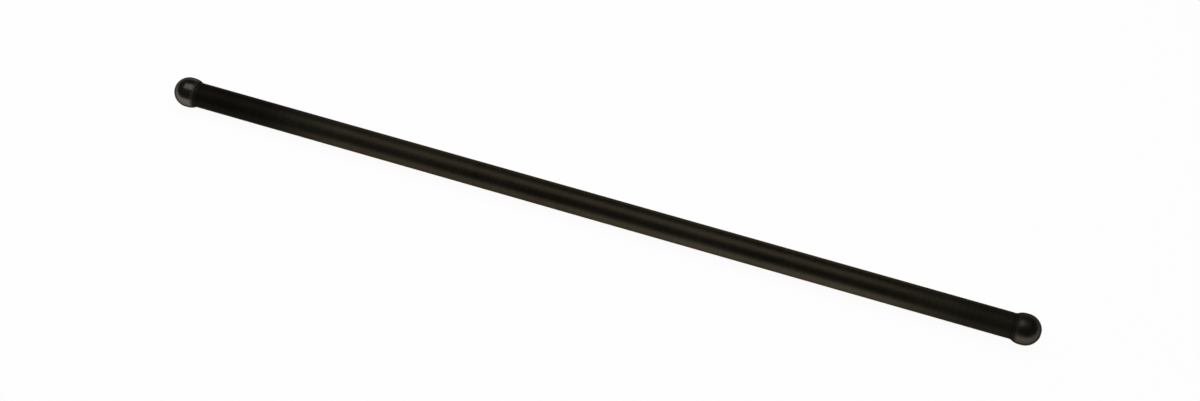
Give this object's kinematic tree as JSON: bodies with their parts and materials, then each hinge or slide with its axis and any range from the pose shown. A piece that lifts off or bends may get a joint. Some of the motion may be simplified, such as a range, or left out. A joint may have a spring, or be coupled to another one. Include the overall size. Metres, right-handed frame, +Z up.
{
  "type": "engine pushrod",
  "caption": "Straight hollow steel rod with a ball end pressed into each end, passing cam lift from a lifter to a rocker arm and carrying oil through its bore.",
  "frame": {"origin": "middle of the rod, on its axis", "axes": "+X along the rod towards the rocker's end, +Z up as the rod lies on a table"},
  "size_m": [0.277, 0.0096, 0.0096],
  "materials": {
    "tube_oxide": "satin black oxide with a thin film of oil",
    "ball_oxide": "ground and hardened, glossy black oxide"
  },
  "bodies": {
    "root": {"tube": "tube_oxide", "rocker_ball_end": "ball_oxide", "lifter_ball_end": "ball_oxide"}
  },
  "joints": []
}
